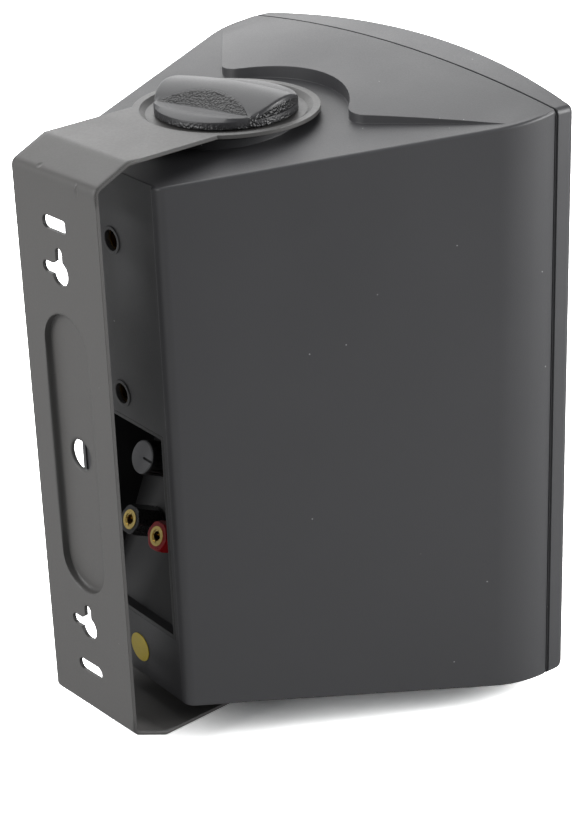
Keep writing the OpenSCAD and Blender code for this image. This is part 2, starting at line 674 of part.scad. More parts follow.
module transformer_screws() {
    color("silver") in_transformer() for (s = [-1, 1]) facing(s * foot_screw_x, 1.2, 0)
        pan_screw(1.3, 2.6, 1.5, 5);
}

// Crossover board, parallel to the ramp and fixed behind the cup
module on_board(x, v) { on_ramp(x, v) translate([0, 0, -cup_floor - board_gap - board_t]) mirror([0, 0, 1]) children(); }
module crossover_board() {
    color("#2f5a35") on_ramp(0, board_v) translate([0, 0, -cup_floor - board_gap]) difference() {
        translate([0, 0, -board_t / 2]) cube([board_w, board_h, board_t], center = true);
        for (s = [-1, 1]) translate([s * 20, -16, -3]) cylinder(r = 1.6, h = 6);
    }
}
module board_screws() {
    color("silver") for (s = [-1, 1]) {
        on_board(s * 20, board_v - 16) pan_screw(1.5, 2.8, 1.6, board_t + board_gap + 1.5);
        on_ramp(s * 20, board_v - 16) translate([0, 0, -cup_floor - board_gap]) ring(2.6, 1.5, board_gap);
    }
}
module crossover_coil() {
    color("#b06a2c") on_board(-9, board_v) {
        ring(11, 5.4, 12);
        ring(5.4, 3.4, 14);
    }
}
module crossover_capacitors() {
    color("#1d2a4a") on_board(12, board_v) {
        translate([0, 8, 5.2]) rotate([0, 90, 0]) cylinder(r = 5.2, h = 18, center = true);
        translate([0, -6, 4.2]) rotate([0, 90, 0]) cylinder(r = 4.2, h = 15, center = true);
    }
}
module crossover_resistor() {
    color("#d8d4c8") on_board(6, board_v - 15.5) translate([0, 0, 2.6]) cube([17, 5, 5], center = true);
}

// Woofer, in its own frame: +Z faces the room from the baffle's front face
module at_woofer() { on_pivot() facing(0, baffle_y, woofer_z) children(); }
module woofer_screw_pos() {
    for (a = [45 : 90 : 315]) facing(0, baffle_y, woofer_z) rotate([0, 0, a])
        translate([woofer_d / 2 - 4.5, 0, 0]) children();
}
module woofer_basket() {
    color("#3b3d40") at_woofer() difference() {
        rotate_extrude($fn = 96) polygon([[coil_r + 1, -basket_depth - 1.5], [seat_r, -basket_depth - 1.5],
            [seat_r + 1, -basket_depth + 8], [basket_r, -4], [basket_r, 0], [woofer_d / 2, 0],
            [woofer_d / 2, flange_t], [basket_r - 1.6, flange_t], [basket_r - 1.6, -3.4],
            [seat_r - 0.8, -basket_depth + 9.5], [seat_r - 4, -basket_depth + 9.5],
            [seat_r - 4, -basket_depth + 8], [seat_r - 1.8, -basket_depth + 8],
            [seat_r - 2, -basket_depth], [coil_r + 1, -basket_depth]]);
        for (a = [30 : 60 : 330]) rotate([0, 0, a]) translate([basket_r - 8, 0, -16])
            rotate([0, 45, 0]) cube([30, 26, 13], center = true);
        for (a = [45 : 90 : 315]) rotate([0, 0, a]) translate([woofer_d / 2 - 4.5, 0, -over])
            cylinder(r = 1.9, h = 5);
    }
}
module woofer_gasket() {
    color("#151516") at_woofer() translate([0, 0, flange_t + 0.5]) difference() {
        ring(woofer_d / 2 - 0.5, cone_r + 10.5, gasket_t);
        for (a = [45 : 90 : 315]) rotate([0, 0, a]) translate([woofer_d / 2 - 4.5, 0, -over])
            cylinder(r = 3.4, h = 5);
    }
}
module woofer_surround() {
    t = 0.5;
    roll = 3.6;
    mid = cone_r + 1.2 + roll;
    color("#1a1a1b") at_woofer() translate([0, 0, flange_t]) rotate_extrude($fn = 96)
        polygon(concat([[cone_r - 1.5, 0], [mid - roll, 0]], arc_pts(mid, 0, roll - t, 180, 0, 12),
            [[basket_r + 1.2, 0], [basket_r + 1.2, t]], arc_pts(mid, t, roll - t, 0, 180, 12), [[cone_r - 1.5, t]]));
}
module woofer_cone() {
    color("#262627") at_woofer() rotate_extrude($fn = 96)
        polygon([[coil_r, -21], [coil_r + 0.9, -21.4], [coil_r + 12, -12.5], [cone_r - 2, flange_t - 1.2],
            [cone_r, flange_t - 1.2], [cone_r, flange_t], [cone_r - 2.4, flange_t], [coil_r + 11.4, -11.6]]);
}
module dust_cap() {
    cap_r = 19;
    rise = 5;
    r = (cap_r * cap_r + rise * rise) / (2 * rise);
    base = -21 + (cap_r - coil_r) * 0.8246 + 0.3;
    a = asin(cap_r / r);
    color("#1d1d1e") at_woofer() translate([0, 0, base + rise - r]) rotate_extrude($fn = 64)
        polygon(concat(arc_pts(0, 0, r, 90 - a, 90, 10), arc_pts(0, 0, r - 0.5, 90, 90 - a, 10)));
}
module voice_coil() {
    color("#b5722e") at_woofer() translate([0, 0, -47]) {
        ring(coil_r, coil_r - 0.4, 26);
        ring(coil_r + 0.5, coil_r, 9);
    }
}
module spider() {
    rest = -basket_depth + 9.5;
    n = 24;
    r0 = coil_r + 0.1;
    r1 = seat_r - 1.4;
    color("#c9b37a") at_woofer() translate([0, 0, rest + 0.1]) rotate_extrude($fn = 64)
        polygon(concat([for (i = [0 : n]) [r0 + (r1 - r0) * i / n, 0.7 - 0.7 * cos(i / n * 360 * 3)]],
            [for (i = [n : -1 : 0]) [r0 + (r1 - r0) * i / n, 1.1 - 0.7 * cos(i / n * 360 * 3)]]));
}
module woofer_top_plate() {
    color("#8d8f92") at_woofer() translate([0, 0, -basket_depth - 1.5 - top_plate_t])
        ring(magnet_d / 2 - 3, coil_r + 1, top_plate_t);
}
module woofer_magnet() {
    color("#4a4b4d") at_woofer() translate([0, 0, -basket_depth - 1.5 - top_plate_t - magnet_t])
        ring(magnet_d / 2, coil_r + 7, magnet_t);
}
module woofer_yoke() {
    color("#8d8f92") at_woofer() translate([0, 0, -basket_depth - 1.5 - top_plate_t - magnet_t]) {
        translate([0, 0, -5]) cylinder(r1 = magnet_d / 2 - 6, r2 = magnet_d / 2 - 3, h = 5);
        cylinder(r = coil_r - 1.3, h = magnet_t + top_plate_t + 1);
    }
}
module woofer_screws() {
    color("silver") on_pivot() woofer_screw_pos() translate([0, 0, flange_t]) pan_screw(1.4, 3, 1.6, 9);
}

// Tweeter
module tweeter_screw_pos() {
    for (a = [45 : 90 : 315]) facing(0, baffle_y, tweeter_z) rotate([0, 0, a])
        translate([tweeter_d / 2 - 4, 0, 0]) children();
}
module at_tweeter() { on_pivot() facing(0, baffle_y, tweeter_z) children(); }
module tweeter_plate() {
    color("#1c1c1d") at_tweeter() difference() {
        rotate_extrude($fn = 96) polygon([[13.4, -1], [tweeter_hole_r - 1, -1], [tweeter_hole_r - 1, 0],
            [tweeter_d / 2, 0], [tweeter_d / 2, 1.8], [tweeter_d / 2 - 0.8, 2.6], [24, 2.6], [17, 1], [13.4, 0]]);
        for (a = [45 : 90 : 315]) rotate([0, 0, a]) translate([tweeter_d / 2 - 4, 0, -over])
            cylinder(r = 1.7, h = 6);
    }
}
module tweeter_dome() {
    r = 14.4;
    a = asin(12.9 / r);
    color("#39393b") at_tweeter() translate([0, 0, -r * cos(a) - 0.6]) rotate_extrude()
        polygon(concat(arc_pts(0, 0, r, 90 - a, 90, 10), arc_pts(0, 0, r - 0.4, 90, 90 - a, 10)));
    color("#39393b") at_tweeter() translate([0, 0, -1]) ring(13.2, 12.6, 0.5);
}
module tweeter_magnet() {
    color("#77797c") at_tweeter() translate([0, 0, -19]) cylinder(r = 21, h = 18);
}
module tweeter_screws() {
    color("silver") on_pivot() tweeter_screw_pos() translate([0, 0, 2.6]) pan_screw(1.2, 2.4, 1.3, 9);
}

module round_label() {
    color("#c9b53a") on_pivot() translate([0, -back_reach + panel_step, -96.5]) rotate([90, 0, 0])
        cylinder(r = 7.5, h = 0.3);
}

rear_cabinet();
front_baffle();
baffle_gasket();
grille();
housing_screws();
top_pivot_insert();
bottom_pivot_insert();
top_friction_washer();
bottom_friction_washer();
rear_inserts();
bracket();
top_knob();
top_knob_stud();
top_knob_washer();
bottom_knob();
bottom_knob_stud();
bottom_knob_washer();
terminal_cup();
cup_gasket();
black_post();
red_post();
post_collars();
black_cap();
black_cap_core();
red_cap();
red_cap_core();
post_nuts();
solder_tags();
tap_switch();
tap_shaft();
tap_knob();
tap_nut();
transformer_core();
transformer_coil();
transformer_frame();
transformer_screws();
crossover_board();
crossover_coil();
crossover_capacitors();
crossover_resistor();
board_screws();
woofer_basket();
woofer_gasket();
woofer_surround();
woofer_cone();
dust_cap();
voice_coil();
spider();
woofer_top_plate();
woofer_magnet();
woofer_yoke();
woofer_screws();
tweeter_plate();
tweeter_dome();
tweeter_magnet();
tweeter_screws();
round_label();
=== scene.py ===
"""Looks of a compact two-way loudspeaker that swivels on a U bracket. Metres, in the frame's axes."""
import json
import math

import bmesh
import bpy
from mathutils import Matrix, Vector

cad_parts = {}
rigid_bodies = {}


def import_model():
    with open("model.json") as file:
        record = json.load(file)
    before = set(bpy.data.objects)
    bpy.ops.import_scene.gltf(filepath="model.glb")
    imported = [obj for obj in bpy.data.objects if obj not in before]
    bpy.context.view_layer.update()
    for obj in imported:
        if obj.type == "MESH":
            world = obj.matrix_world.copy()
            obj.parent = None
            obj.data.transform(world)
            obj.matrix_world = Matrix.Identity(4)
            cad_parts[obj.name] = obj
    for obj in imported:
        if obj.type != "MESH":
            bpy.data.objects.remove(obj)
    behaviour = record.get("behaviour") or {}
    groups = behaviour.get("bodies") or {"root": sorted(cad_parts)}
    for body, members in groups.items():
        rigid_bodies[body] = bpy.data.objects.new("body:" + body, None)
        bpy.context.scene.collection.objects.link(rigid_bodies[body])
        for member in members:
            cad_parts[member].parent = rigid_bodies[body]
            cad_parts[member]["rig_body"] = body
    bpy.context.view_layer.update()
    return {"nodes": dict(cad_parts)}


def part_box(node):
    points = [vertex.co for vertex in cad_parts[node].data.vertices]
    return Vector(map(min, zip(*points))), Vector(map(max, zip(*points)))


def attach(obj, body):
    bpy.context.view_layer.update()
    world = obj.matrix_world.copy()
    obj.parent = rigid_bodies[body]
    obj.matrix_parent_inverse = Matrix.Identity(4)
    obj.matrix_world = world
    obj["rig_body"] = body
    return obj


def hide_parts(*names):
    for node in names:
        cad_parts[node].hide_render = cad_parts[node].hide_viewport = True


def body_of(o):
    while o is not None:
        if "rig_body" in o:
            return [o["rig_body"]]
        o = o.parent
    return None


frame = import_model()
scene = bpy.context.scene
scene.view_settings.view_transform = "Standard"
MM = 0.001
CAD = frame["nodes"]

# Camera and swivel
# The camera is the photograph's own, recovered in the cabinet's axes: they start on the swivel
# axis at mid height and are turned with the cabinet on its bracket.
SWIVEL = Matrix.Translation((0, 82 * MM, 0)) @ Matrix.Rotation(math.radians(-3.7), 4, "Z")
AZIMUTH, ELEVATION, ROLL = (math.radians(a) for a in (36.8, 24.93, -2.07))
SIDEWAYS, UPWARDS, DISTANCE = 21.29 * MM, -5.87 * MM, 902.4 * MM
LENS_MM = 99.0

back = Vector((math.cos(ELEVATION) * math.cos(AZIMUTH), -math.cos(ELEVATION) * math.sin(AZIMUTH),
               math.sin(ELEVATION)))
level = Vector((0, 0, 1)).cross(back).normalized()
upright = back.cross(level)
right = math.cos(ROLL) * level + math.sin(ROLL) * upright
up = math.cos(ROLL) * upright - math.sin(ROLL) * level
spot = SIDEWAYS * right + UPWARDS * up + DISTANCE * back
camera = bpy.data.objects.new("camera", bpy.data.cameras.new("camera"))
camera.data.lens = LENS_MM
camera.data.sensor_width = 36
camera.data.clip_start = 0.05
camera.matrix_world = SWIVEL @ Matrix.Translation(spot) @ Matrix((right, up, back)).transposed().to_4x4()
scene.collection.objects.link(camera)
scene.camera = camera


# Studio
# A white paper sweep under four soft panels. The largest stands beyond the object, and its
# reflection gives the upper faces their sheen. The camera sees the paper brighter than it is, so
# that it is white right up to the object's shadow.
def linear(code):
    """An sRGB hex colour as linear RGBA."""
    parts = [int(code[i:i + 2], 16) / 255 for i in (1, 3, 5)]
    return tuple(p / 12.92 if p <= 0.04045 else ((p + 0.055) / 1.055) ** 2.4 for p in parts) + (1.0,)


def add(tree, kind, sockets=(), **settings):
    """Adds a shader node. A socket is given a value, or another node's output to link."""
    made = tree.nodes.new("ShaderNode" + kind)
    for name, value in settings.items():
        setattr(made, name, value)
    for name, value in dict(sockets).items():
        if isinstance(value, bpy.types.NodeSocket):
            tree.links.new(value, made.inputs[name])
        else:
            made.inputs[name].default_value = value
    return made


def panel(name, side, height, behind, size, watts):
    """A square soft panel, placed from the object's middle along the camera's own directions."""
    lamp = bpy.data.lights.new(name, "AREA")
    lamp.size = size
    lamp.energy = watts
    flat_back = Vector((back.x, back.y, 0)).normalized()
    place = SWIVEL @ (level * side + Vector((0, 0, height)) - flat_back * behind)
    holder = bpy.data.objects.new(name, lamp)
    holder.matrix_world = Matrix.Translation(place) @ place.to_track_quat("Z", "Y").to_matrix().to_4x4()
    scene.collection.objects.link(holder)


panel("top_panel", -0.2, 1.2, 0.3, 0.7, 5.0)
panel("beyond_panel", -0.2, 0.65, 1.1, 1.3, 11.0)
panel("left_panel", -1.0, 0.5, -0.5, 0.8, 15.0)
panel("right_panel", 0.66, 0.25, -0.13, 0.4, 5.5)

world = bpy.data.worlds.new("studio")
world.use_nodes = True
world.node_tree.nodes.clear()
ray = add(world.node_tree, "LightPath")
seen = add(world.node_tree, "Math", {0: ray.outputs["Is Camera Ray"],
                                     1: ray.outputs["Is Transmission Ray"]}, operation="MAXIMUM")
fill = add(world.node_tree, "Background", {"Color": linear("#eef0f2"), "Strength": 0.3})
white = add(world.node_tree, "Background", {"Color": (1, 1, 1, 1), "Strength": 1.0})
sky = add(world.node_tree, "MixShader", {0: seen.outputs[0], 1: fill.outputs[0], 2: white.outputs[0]})
add(world.node_tree, "OutputWorld", {"Surface": sky.outputs[0]})
scene.world = world

FLOOR_HALF = 6.0
SHOWN_GAIN = 2.8
sweep = bmesh.new()
bmesh.ops.create_grid(sweep, x_segments=1, y_segments=1, size=FLOOR_HALF)
bmesh.ops.translate(sweep, verts=sweep.verts, vec=(0, 0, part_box("bottom_knob")[0].z))
floor_mesh = bpy.data.meshes.new("floor")
sweep.to_mesh(floor_mesh)
sweep.free()
floor = bpy.data.objects.new("floor", floor_mesh)
scene.collection.objects.link(floor)
paper = bpy.data.materials.new("white paper sweep")
paper.use_nodes = True
paper.node_tree.nodes.clear()
ray = add(paper.node_tree, "LightPath")
shown = add(paper.node_tree, "Mix", {0: ray.outputs["Is Camera Ray"], 6: linear("#b8b8b8"),
                                     7: (SHOWN_GAIN,) * 3 + (1,)}, data_type="RGBA").outputs[2]
matt = add(paper.node_tree, "BsdfDiffuse", {"Color": shown})
add(paper.node_tree, "OutputMaterial", {"Surface": matt.outputs[0]})
floor_mesh.materials.append(paper)

# Moulded cabinet
# The rear half and the front frame are injection moulded ABS, charcoal, with a fine spark-eroded
# texture that scatters light softly. Handling has left a few pale specks of dust.
SMOOTH_UP_TO = math.radians(30)
GLOSS_SPREAD = 0.07
PLASTIC_IOR = 1.5


def finish(name, colour, rough, grain, relief, shade=0.12, patch=30.0, edge=0.0, metal=0.0):
    """Starts a finish: grain and relief of its texture, patches of tone and soft edges, in mm."""
    made = bpy.data.materials.new(name)
    made.use_nodes = True
    tree = made.node_tree
    tree.nodes.clear()
    place = add(tree, "TexCoord").outputs["Object"]
    fine = add(tree, "TexNoise", {"Vector": place, "Scale": 1 / (grain * MM), "Detail": 2.0}).outputs["Fac"]
    broad = add(tree, "TexNoise", {"Vector": place, "Scale": 1 / (patch * MM), "Detail": 3.0}).outputs["Fac"]
    dark = tuple(c * (1 - shade) for c in linear(colour)[:3]) + (1.0,)
    light = tuple(min(1.0, c * (1 + shade)) for c in linear(colour)[:3]) + (1.0,)
    tone = add(tree, "Mix", {0: broad, 6: dark, 7: light}, data_type="RGBA").outputs[2]
    mixed = add(tree, "Mix", {0: 0.5, 2: fine, 3: broad}).outputs[0]
    gloss = add(tree, "MapRange", {"Value": mixed, "From Min": 0.3, "From Max": 0.7,
                                   "To Min": rough - GLOSS_SPREAD,
                                   "To Max": rough + GLOSS_SPREAD}).outputs[0]
    bump = add(tree, "Bump", {"Height": fine, "Distance": relief * MM, "Strength": 0.8})
    if edge:
        soft = add(tree, "Bevel", {"Radius": edge * MM}, samples=6)
        tree.links.new(soft.outputs[0], bump.inputs["Normal"])
    shader = add(tree, "BsdfPrincipled", {"Base Color": tone, "Roughness": gloss, "Metallic": metal,
                                          "Normal": bump.outputs[0]})
    if not metal:
        shader.inputs["IOR"].default_value = PLASTIC_IOR
    add(tree, "OutputMaterial", {"Surface": shader.outputs[0]})
    return made


def first(material, kind):
    """The first shader node of a kind in a finish."""
    return next(n for n in material.node_tree.nodes if n.bl_idname == "ShaderNode" + kind)


def relink(material, socket, wrap):
    """Passes what feeds a socket of a finish's shader through another node first."""
    fed = first(material, "BsdfPrincipled").inputs[socket]
    material.node_tree.links.new(wrap(fed.links[0].from_socket), fed)


def paint(material, mask, colour):
    """Lays a colour over a finish where a mask is 1."""
    relink(material, "Base Color", lambda below: add(
        material.node_tree, "Mix", {0: mask, 6: below, 7: linear(colour)}, data_type="RGBA").outputs[2])


def specks(material, spacing, size, share, colour):
    """Scatters small round specks, one at most for each spacing, both in mm."""
    tree = material.node_tree
    place = first(material, "TexCoord").outputs["Object"]
    cells = add(tree, "TexVoronoi", {"Vector": place, "Scale": 1 / (spacing * MM)})
    near = add(tree, "Math", {0: cells.outputs["Distance"], 1: size / spacing}, operation="LESS_THAN")
    tint = add(tree, "SeparateColor", {"Color": cells.outputs["Color"]})
    kept = add(tree, "Math", {0: tint.outputs["Red"], 1: share}, operation="LESS_THAN")
    mask = add(tree, "Math", {0: near.outputs[0], 1: kept.outputs[0]}, operation="MULTIPLY")
    paint(material, mask.outputs[0], colour)


def add_piece(name, shape, material, node):
    """Makes a piece of a bmesh, which stands for a CAD node and rides on that node's body."""
    mesh = bpy.data.meshes.new(name)
    shape.to_mesh(mesh)
    shape.free()
    if "custom_normal" in mesh.attributes:
        mesh.attributes.remove(mesh.attributes["custom_normal"])
    mesh.materials.append(material)
    piece = bpy.data.objects.new(name, mesh)
    scene.collection.objects.link(piece)
    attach(piece, body_of(CAD[node])[0])
    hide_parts(node)
    return piece


def crease(shape, up_to):
    """Smooths a shape, but for the edges that turn by more than an angle."""
    for face in shape.faces:
        face.smooth = True
    for edge in shape.edges:
        edge.smooth = edge.is_manifold and edge.calc_face_angle(0) < up_to


def dress(material, *nodes):
    """Gives CAD nodes a finish. Each gets a merged, smooth-shaded copy that stands for it."""
    for node in nodes:
        shape = bmesh.new()
        shape.from_mesh(CAD[node].data)
        bmesh.ops.remove_doubles(shape, verts=shape.verts, dist=0.002 * MM)
        crease(shape, SMOOTH_UP_TO)
        piece = add_piece(node + "_finish", shape, material, node)
        weighted = piece.modifiers.new("flat faces first", "WEIGHTED_NORMAL")
        weighted.keep_sharp = True


cabinet_abs = finish("charcoal ABS, spark-eroded texture", "#39393b", 0.46, 0.55, 0.035, shade=0.06,
                     patch=45.0, edge=0.45)
specks(cabinet_abs, 7.0, 0.28, 0.22, "#8f8f90")
dress(cabinet_abs, "rear_cabinet", "front_baffle")

# Terminal cup and gaskets
# The cup is a separate moulding of ABS with a smoother and darker face. Strips of dull, pitted
# foam seal it, the baffle and the woofer.
cup_abs = finish("dark ABS, moulded smooth", "#222223", 0.42, 0.7, 0.02, shade=0.05, edge=0.3)
foam = finish("closed-cell foam", "#1c1c1d", 0.85, 1.1, 0.2, shade=0.2, patch=3.0)
dress(cup_abs, "terminal_cup")
dress(foam, "baffle_gasket", "cup_gasket", "woofer_gasket")

# Grille
# Perforated steel sheet, bowed with the front and powder coated black. The holes are drawn 2.3 mm
# wide at 3.4 mm, coarser than the real sheet, to keep the piece light. A plain edge closes it.
HOLE_PITCH = 3.4 * MM
HOLE_WIDTH = 2.3 * MM
SHEET = 0.5 * MM
EDGE_BAND = 3.2 * MM
BAND_STEPS = 36
to_cabinet = SWIVEL.inverted()
grille_points = [to_cabinet @ v.co for v in CAD["grille"].data.vertices]
half_width = max(p.x for p in grille_points)
front = max(p.y for p in grille_points)
side_front = max(p.y for p in grille_points if p.x > half_width - 2 * MM)
mid_height = max(p.z for p in grille_points)
side_height = max(p.z for p in grille_points if p.x > half_width - 4 * MM)
bow = front - side_front
crown = mid_height - side_height


def shape_sheet(shape, depth):
    """Crowns a flat sheet in X and Z, then bows it forward like the front."""
    for v in shape.verts:
        across = v.co.x / half_width
        v.co.z *= 1 + crown * (1 - across * across) / side_height
        v.co.y = front - depth - bow * across * across


cell_r = HOLE_PITCH / math.sqrt(3)
cell = bmesh.new()
bmesh.ops.create_circle(cell, cap_ends=True, segments=6, radius=cell_r)
bmesh.ops.inset_region(cell, faces=cell.faces, thickness=(HOLE_PITCH - HOLE_WIDTH) / 2, use_boundary=True,
                       use_even_offset=True)
bmesh.ops.delete(cell, geom=[f for f in cell.faces if len(f.verts) == 6], context="FACES")
bmesh.ops.rotate(cell, verts=cell.verts, cent=(0, 0, 0), matrix=Matrix.Rotation(math.radians(90), 3, "X"))
second = bmesh.ops.duplicate(cell, geom=cell.verts[:] + cell.edges[:] + cell.faces[:])["geom"]
bmesh.ops.translate(cell, verts=[g for g in second if isinstance(g, bmesh.types.BMVert)],
                    vec=(HOLE_PITCH / 2, 0, 1.5 * cell_r))
cell_mesh = bpy.data.meshes.new("grille_cell")
cell.to_mesh(cell_mesh)
cell.free()
cell_piece = bpy.data.objects.new("grille_cell", cell_mesh)
scene.collection.objects.link(cell_piece)
for step, span in (((HOLE_PITCH, 0, 0), 2 * half_width), ((0, 0, 3 * cell_r), 2 * side_height)):
    repeat = cell_piece.modifiers.new("repeat", "ARRAY")
    repeat.count = int(span / max(step))
    repeat.use_relative_offset = False
    repeat.use_constant_offset = True
    repeat.constant_offset_displace = step
bpy.context.view_layer.update()
field_mesh = bpy.data.meshes.new_from_object(cell_piece.evaluated_get(bpy.context.evaluated_depsgraph_get()))
bpy.data.objects.remove(cell_piece)
sheet = bmesh.new()
sheet.from_mesh(field_mesh)
low = Vector([min(v.co[i] for v in sheet.verts) for i in range(3)])
high = Vector([max(v.co[i] for v in sheet.verts) for i in range(3)])
bmesh.ops.translate(sheet, verts=sheet.verts, vec=-(low + high) / 2)
bmesh.ops.remove_doubles(sheet, verts=sheet.verts, dist=0.01 * MM)
bmesh.ops.scale(sheet, verts=sheet.verts, vec=((half_width - EDGE_BAND / 2) / ((high.x - low.x) / 2), 1,
                                               (side_height - EDGE_BAND / 2) / ((high.z - low.z) / 2)))
shape_sheet(sheet, SHEET)
band = bmesh.new()
bmesh.ops.create_grid(band, x_segments=BAND_STEPS, y_segments=2, size=1)
bmesh.ops.dissolve_edges(band, edges=[e for e in band.edges if all(abs(v.co.y) < 1e-4 for v in e.verts)])
bmesh.ops.scale(band, verts=band.verts, vec=(half_width, side_height, 1))
bmesh.ops.rotate(band, verts=band.verts, cent=(0, 0, 0), matrix=Matrix.Rotation(math.radians(90), 3, "X"))
bmesh.ops.inset_region(band, faces=band.faces, thickness=EDGE_BAND, use_boundary=True, use_even_offset=True)
inner = [f for f in band.faces if abs(f.calc_center_median().x) < half_width - EDGE_BAND
         and abs(f.calc_center_median().z) < side_height - EDGE_BAND]
bmesh.ops.delete(band, geom=inner, context="FACES")
shape_sheet(band, 0)
band_mesh = bpy.data.meshes.new("grille_band")
band.to_mesh(band_mesh)
band.free()
sheet.from_mesh(band_mesh)
bmesh.ops.recalc_face_normals(sheet, faces=sheet.faces)
sheet.transform(SWIVEL)
powder_black = finish("black powder coat on steel", "#1d1d1e", 0.5, 0.5, 0.02, shade=0.08)
grille = add_piece("perforated_grille", sheet, powder_black, "grille")
thick = grille.modifiers.new("sheet thickness", "SOLIDIFY")
thick.thickness = SHEET
thick.offset = 0

# Bracket
# One strip of mild steel, cut, pressed and bent, with a satin powder coat that rounds off the
# pressed panel and the bends. It has two small scuffs by the upper bend and has picked up dust.
FADE = 0.1
SCUFF_DEPTH = 0.5 * MM


def distance_in(material, centre, reach):
    """How far a point is from a centre, as a share of an ellipsoid's half axes in mm."""
    tree = material.node_tree
    local = add(tree, "Mapping", {"Vector": first(material, "TexCoord").outputs["Object"],
                                  "Location": [c * MM for c in centre],
                                  "Scale": [r * MM for r in reach]}, vector_type="TEXTURE")
    return add(tree, "VectorMath", {0: local.outputs[0]}, operation="LENGTH").outputs["Value"]


def widen_edges(material, centre, reach, radius):
    """Widens the soft edges of a finish inside an ellipsoid."""
    tree = material.node_tree
    wide = add(tree, "MapRange", {"Value": distance_in(material, centre, reach), "From Min": 1 - FADE,
                                  "From Max": 1 + FADE, "To Min": radius * MM, "To Max": 0.0})
    fed = first(material, "Bevel").inputs["Radius"]
    base = fed.links[0].from_socket if fed.is_linked else fed.default_value
    tree.links.new(add(tree, "Math", {0: base, 1: wide.outputs[0]}, operation="MAXIMUM").outputs[0], fed)


def scuff(material, centre, reach):
    """Presses a shallow hollow into a finish, as large as an ellipsoid."""
    tree = material.node_tree
    hollow = add(tree, "MapRange", {"Value": distance_in(material, centre, reach)},
                 interpolation_type="SMOOTHSTEP").outputs[0]
    relink(material, "Normal", lambda below: add(tree, "Bump", {
        "Height": hollow, "Distance": SCUFF_DEPTH, "Strength": 0.9, "Normal": below}).outputs[0])


bracket_coat = finish("graphite powder coat on steel", "#4b4a49", 0.45, 0.9, 0.03, shade=0.05, patch=25.0,
                      edge=0.35)
widen_edges(bracket_coat, (0, 2, 0), (18, 8, 64), 2.6)
for end in (-1, 1):
    widen_edges(bracket_coat, (0, 8, end * 116), (40, 16, 14), 3.0)
scuff(bracket_coat, (14.2, 0, 110.6), (0.8, 3, 3.4))
scuff(bracket_coat, (-10.5, 1, 114.2), (1.8, 3, 1.3))
specks(bracket_coat, 9.0, 0.25, 0.25, "#a5a4a2")
dress(bracket_coat, "bracket")

# Clamp knobs
# ABS knobs moulded on to zinc-plated studs: a round base under a low crowned grip, hollowed on both
# sides for the fingers. The hollows and the rim are pebbled, which an attribute marks, and there the
# colour is darkened as painted shade for the shadow that falls in the pebbles and the hollows.
BASE_T = 4 * MM
GRIP_TURN = math.radians(15)
GRIP_H = 6.0 * MM
GRIP_HALF = 6.5 * MM
GRIP_SPREAD = 8 * MM
SPREAD_AT = 20 * MM
HOLLOW_FOOT = 15.5 * MM
RIM_ROUND = 1.2 * MM
DROP_ACROSS = 0.0231 / MM
DROP_ALONG = 0.0022 / MM
HOLLOW_CURVE = 1.1
TOP_STEPS, HOLLOW_STEPS, FLOOR_STEPS = 10, 7, 4
LONG_STEPS = 72
PEBBLE = 0.8 * MM


def knob(name, hand):
    """The knob of one end, standing up for hand 1 and hanging for hand -1."""
    low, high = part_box(name)
    radius = (high.x - low.x) / 2
    foot = low.z if hand > 0 else -high.z
    side_steps = TOP_STEPS + HOLLOW_STEPS + FLOOR_STEPS
    shape = bmesh.new()
    bmesh.ops.create_grid(shape, x_segments=LONG_STEPS, y_segments=2 * side_steps, size=1)
    pebbled = shape.verts.layers.float.new("pebbled")
    for v in shape.verts:
        along = radius * math.sin(math.radians(90 * v.co.x))
        rim = math.sqrt(max(0.0, radius * radius - along * along))
        edge = min(rim, GRIP_HALF + GRIP_SPREAD * (along / SPREAD_AT) ** 2)
        hollow_end = max(edge, min(rim, HOLLOW_FOOT))
        crown = GRIP_H - DROP_ALONG * along * along
        step = round(abs(v.co.y) * side_steps)
        if step < TOP_STEPS:
            across = edge * step / TOP_STEPS
            lift = crown - DROP_ACROSS * across * across
        elif step < TOP_STEPS + HOLLOW_STEPS:
            part = (step - TOP_STEPS) / HOLLOW_STEPS
            across = edge + (hollow_end - edge) * part
            lift = (crown - DROP_ACROSS * edge * edge) * (1 - part) ** HOLLOW_CURVE
            v[pebbled] = float(part > 0)
        else:
            part = (step - TOP_STEPS - HOLLOW_STEPS) / FLOOR_STEPS
            across = hollow_end + (rim - hollow_end) * part
            lift = 0.0
        curl = max(0.0, RIM_ROUND - radius + math.hypot(along, across))
        sink = RIM_ROUND - math.sqrt(max(0.0, RIM_ROUND ** 2 - curl ** 2))
        v.co = (along, math.copysign(across, v.co.y), foot + BASE_T + max(0.0, lift) - sink)
    bmesh.ops.remove_doubles(shape, verts=shape.verts, dist=0.01 * MM)
    skirt = bmesh.ops.extrude_edge_only(shape, edges=[e for e in shape.edges if e.is_boundary])["geom"]
    for v in skirt:
        if isinstance(v, bmesh.types.BMVert):
            v.co.z = foot
            v[pebbled] = 1.0
    bmesh.ops.holes_fill(shape, edges=[e for e in shape.edges if e.is_boundary], sides=0)
    bmesh.ops.scale(shape, verts=shape.verts, vec=(1, 1, hand))
    bmesh.ops.rotate(shape, verts=shape.verts, cent=(0, 0, 0), matrix=Matrix.Rotation(GRIP_TURN, 3, "Z"))
    bmesh.ops.translate(shape, verts=shape.verts, vec=((low.x + high.x) / 2, (low.y + high.y) / 2, 0))
    bmesh.ops.recalc_face_normals(shape, faces=shape.faces)
    crease(shape, math.radians(35))
    add_piece(name + "_grip", shape, knob_abs, name)


